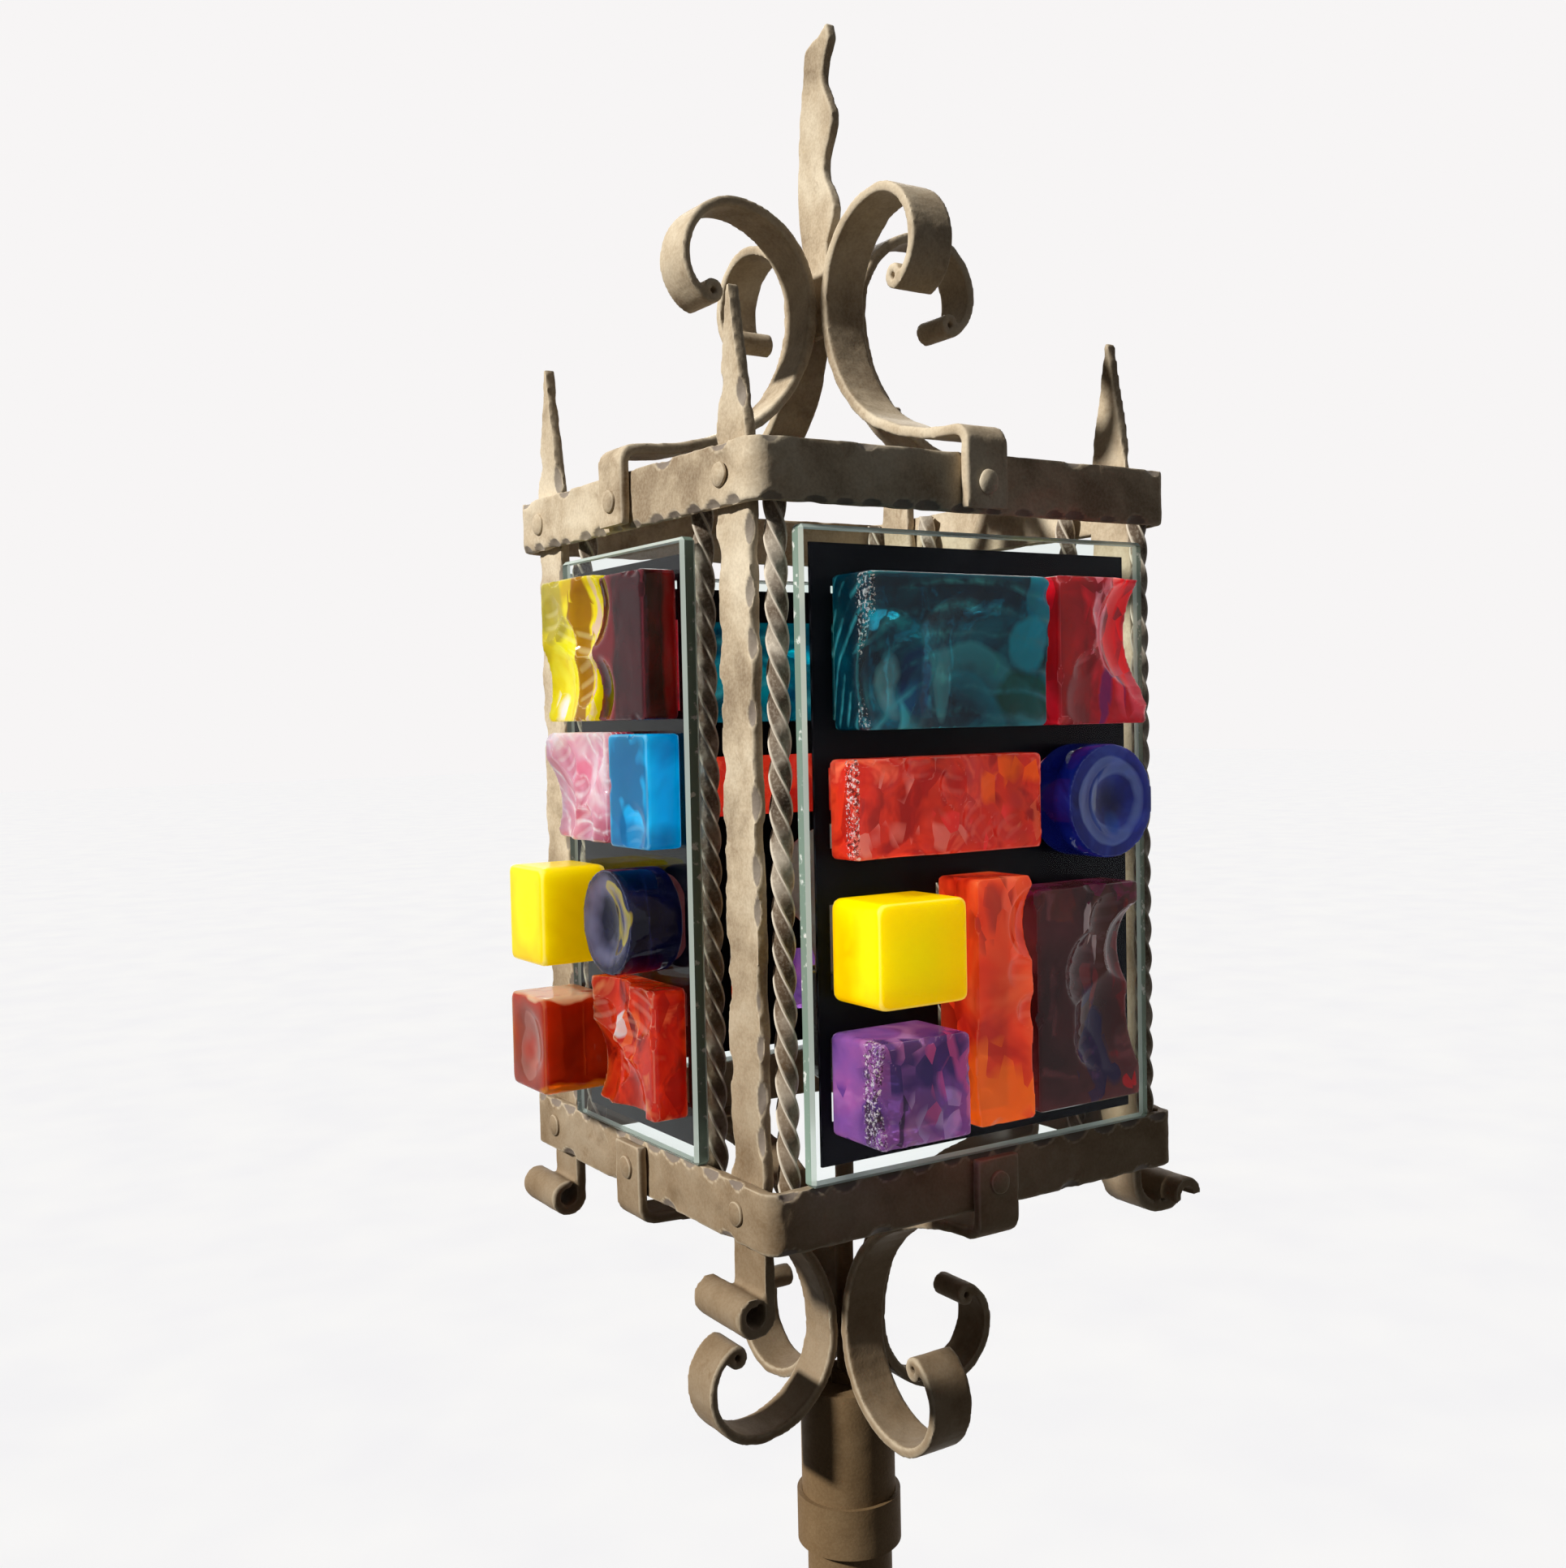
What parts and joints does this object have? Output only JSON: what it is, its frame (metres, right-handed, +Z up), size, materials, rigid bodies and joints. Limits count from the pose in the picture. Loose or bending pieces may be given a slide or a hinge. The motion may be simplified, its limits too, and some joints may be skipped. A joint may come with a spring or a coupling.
{
  "type": "floor lamp",
  "caption": "Wrought-iron floor lamp: a square lantern of flat and twisted bar with scrolls, a flame finial and thick coloured glass pieces on clear panes, on a round pole with scroll legs.",
  "frame": {"origin": "on the floor, on the axis of the pole and lantern", "axes": "+Z up along the pole; -Y and +Y are the wide glazed faces, -X and +X the faces with the flat posts"},
  "size_m": [0.3638, 0.3638, 1.727],
  "materials": {
    "wrought_iron": "weathered",
    "clear_glass": "polished",
    "dark_backing": "matte",
    "teal_glass": "polished",
    "crimson_glass": "polished",
    "coral_glass": "polished",
    "blue_glass": "polished",
    "yellow_glass": "polished",
    "amethyst_glass": "polished",
    "orange_glass": "polished",
    "plum_glass": "polished",
    "amber_glass": "polished",
    "dark_red_glass": "polished",
    "pink_glass": "polished",
    "cyan_glass": "polished",
    "navy_glass": "polished",
    "black_rubber": "matte",
    "phenolic": "gloss",
    "porcelain": "matte",
    "cap_metal": "satin",
    "bulb_glass": "frosted"
  },
  "bodies": {
    "lamp": {"top_band": "wrought_iron", "bottom_band": "wrought_iron", "post_front_left": "wrought_iron", "post_back_left": "wrought_iron", "post_front_right": "wrought_iron", "post_back_right": "wrought_iron", "twisted_bars_front_left": "wrought_iron", "twisted_bars_back_left": "wrought_iron", "twisted_bars_front_right": "wrought_iron", "twisted_bars_back_right": "wrought_iron", "pane_front": "clear_glass", "pane_left": "clear_glass", "pane_back": "clear_glass", "pane_right": "clear_glass", "wide_backings": "dark_backing", "side_backings": "dark_backing", "teal_slabs": "teal_glass", "crimson_blocks": "crimson_glass", "coral_slabs": "coral_glass", "blue_rounds": "blue_glass", "yellow_cubes": "yellow_glass", "amethyst_cubes": "amethyst_glass", "orange_bars": "orange_glass", "plum_slabs": "plum_glass", "amber_slabs": "amber_glass", "dark_red_slabs": "dark_red_glass", "pink_slabs": "pink_glass", "cyan_slabs": "cyan_glass", "lemon_cubes": "yellow_glass", "navy_rounds": "navy_glass", "burnt_orange_cubes": "orange_glass", "flame_red_blocks": "coral_glass", "top_scroll_front": "wrought_iron", "top_scroll_left": "wrought_iron", "top_scroll_back": "wrought_iron", "top_scroll_right": "wrought_iron", "lower_scroll_front": "wrought_iron", "lower_scroll_left": "wrought_iron", "lower_scroll_back": "wrought_iron", "lower_scroll_right": "wrought_iron", "flame_finial": "wrought_iron", "band_rivets": "wrought_iron", "pole_head": "wrought_iron", "collar_ring": "wrought_iron", "pole": "wrought_iron", "stem_tube": "wrought_iron", "stem_nuts": "wrought_iron", "hub": "wrought_iron", "leg_1": "wrought_iron", "leg_2": "wrought_iron", "leg_3": "wrought_iron", "leg_4": "wrought_iron", "leg_rivets": "wrought_iron", "cord_bushing": "black_rubber", "lampholder_cap": "phenolic", "lampholder_shell": "phenolic", "lampholder_core": "porcelain"},
    "bulb": {"bulb_cap": "cap_metal", "bulb_glass": "bulb_glass"},
    "key": {"switch_key": "phenolic"}
  },
  "joints": [
    {"name": "bulb_out", "type": "slide", "parent": "lamp", "child": "bulb", "axis": [0, 0, 1], "range_m": [0, 0.028]},
    {"name": "switch_turn", "type": "hinge", "parent": "lamp", "child": "key", "pos_m": [0.022, 0, 1.188], "axis": [1, 0, 0], "continuous": true}
  ]
}
